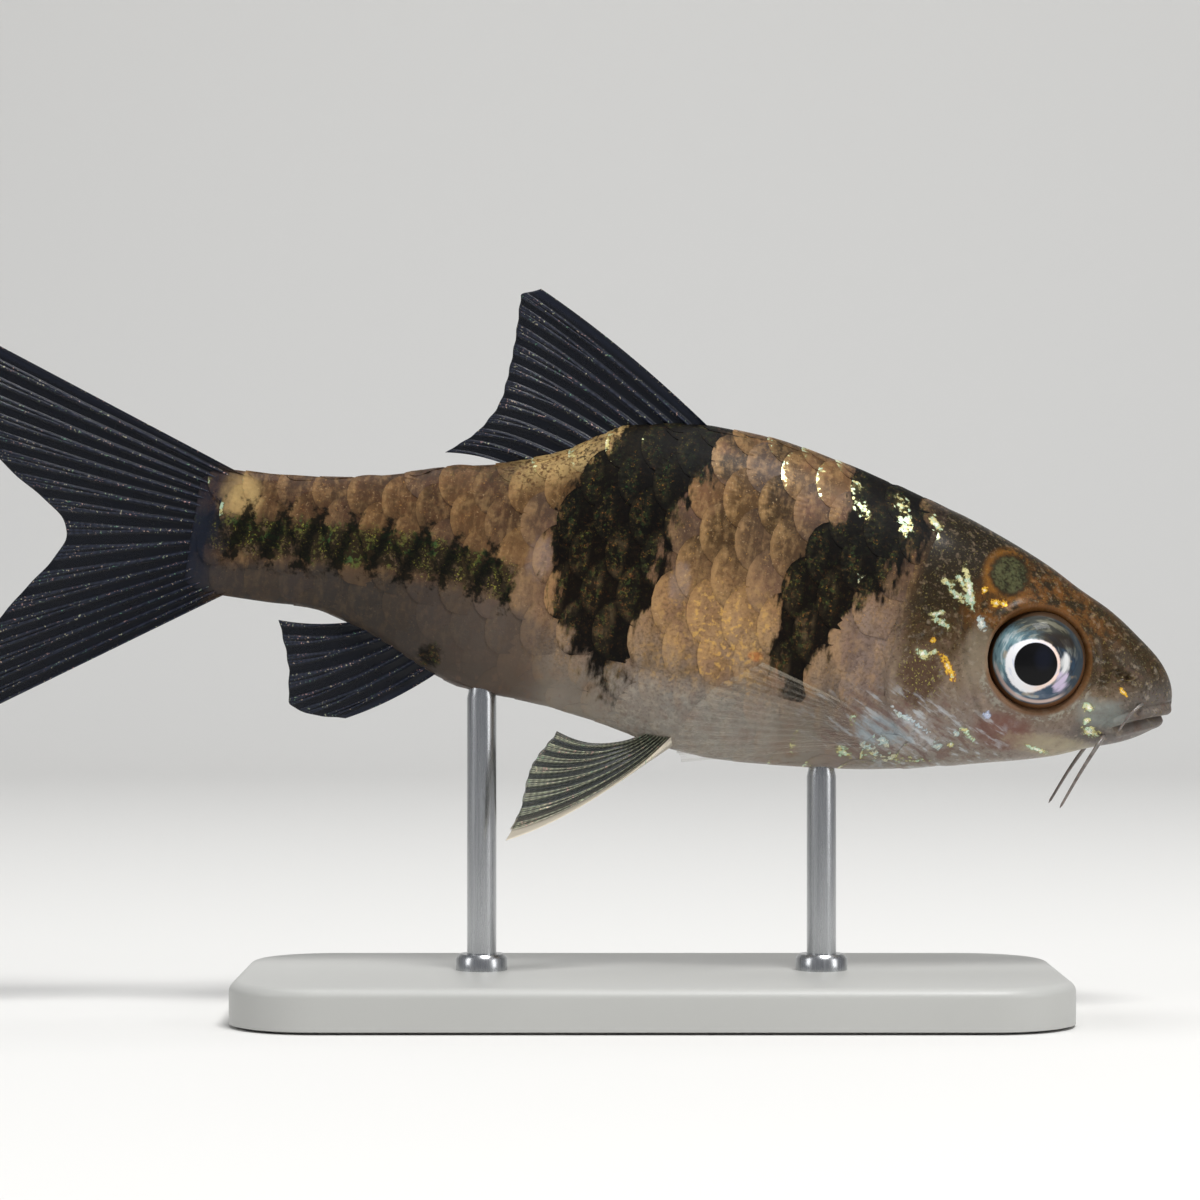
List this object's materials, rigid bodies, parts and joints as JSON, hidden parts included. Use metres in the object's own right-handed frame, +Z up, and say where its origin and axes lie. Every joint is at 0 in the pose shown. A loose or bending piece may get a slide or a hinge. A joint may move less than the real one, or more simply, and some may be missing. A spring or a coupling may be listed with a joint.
{
  "type": "spanner barb",
  "caption": "Life-size still model of a barred freshwater barb with forked tail, ribbed fins and barbels, held nose down over a flat base by slim rods.",
  "frame": {"origin": "the middle of the model's box, at the underside of the stand's base", "axes": "+X towards the fish's nose, +Y to its left, +Z up; the fish's long axis is tipped 9.5 degrees nose down"},
  "size_m": [0.0876, 0.026, 0.0496],
  "materials": {
    "skin": "satin, as wet skin under fine scales",
    "gill_cover": "satin with a silvery sheen",
    "eye": "clear gloss over a silver iris and a black pupil",
    "fin": "satin, thin web between rays",
    "barbel": "satin",
    "stand_base": "satin light grey",
    "stand_rod": "brushed"
  },
  "bodies": {
    "root": {"head": "skin", "torso": "skin", "tail": "skin", "gill_cover_left": "gill_cover", "gill_cover_right": "gill_cover", "eye_left": "eye", "eye_right": "eye", "dorsal_fin": "fin", "anal_fin": "fin", "caudal_fin_upper": "fin", "caudal_fin_lower": "fin", "pectoral_fin_left": "fin", "pectoral_fin_right": "fin", "pelvic_fin_left": "fin", "pelvic_fin_right": "fin", "barbel_rostral_left": "barbel", "barbel_rostral_right": "barbel", "barbel_maxillary_left": "barbel", "barbel_maxillary_right": "barbel", "stand_base": "stand_base", "stand_rod_front": "stand_rod", "stand_rod_back": "stand_rod"}
  },
  "joints": []
}
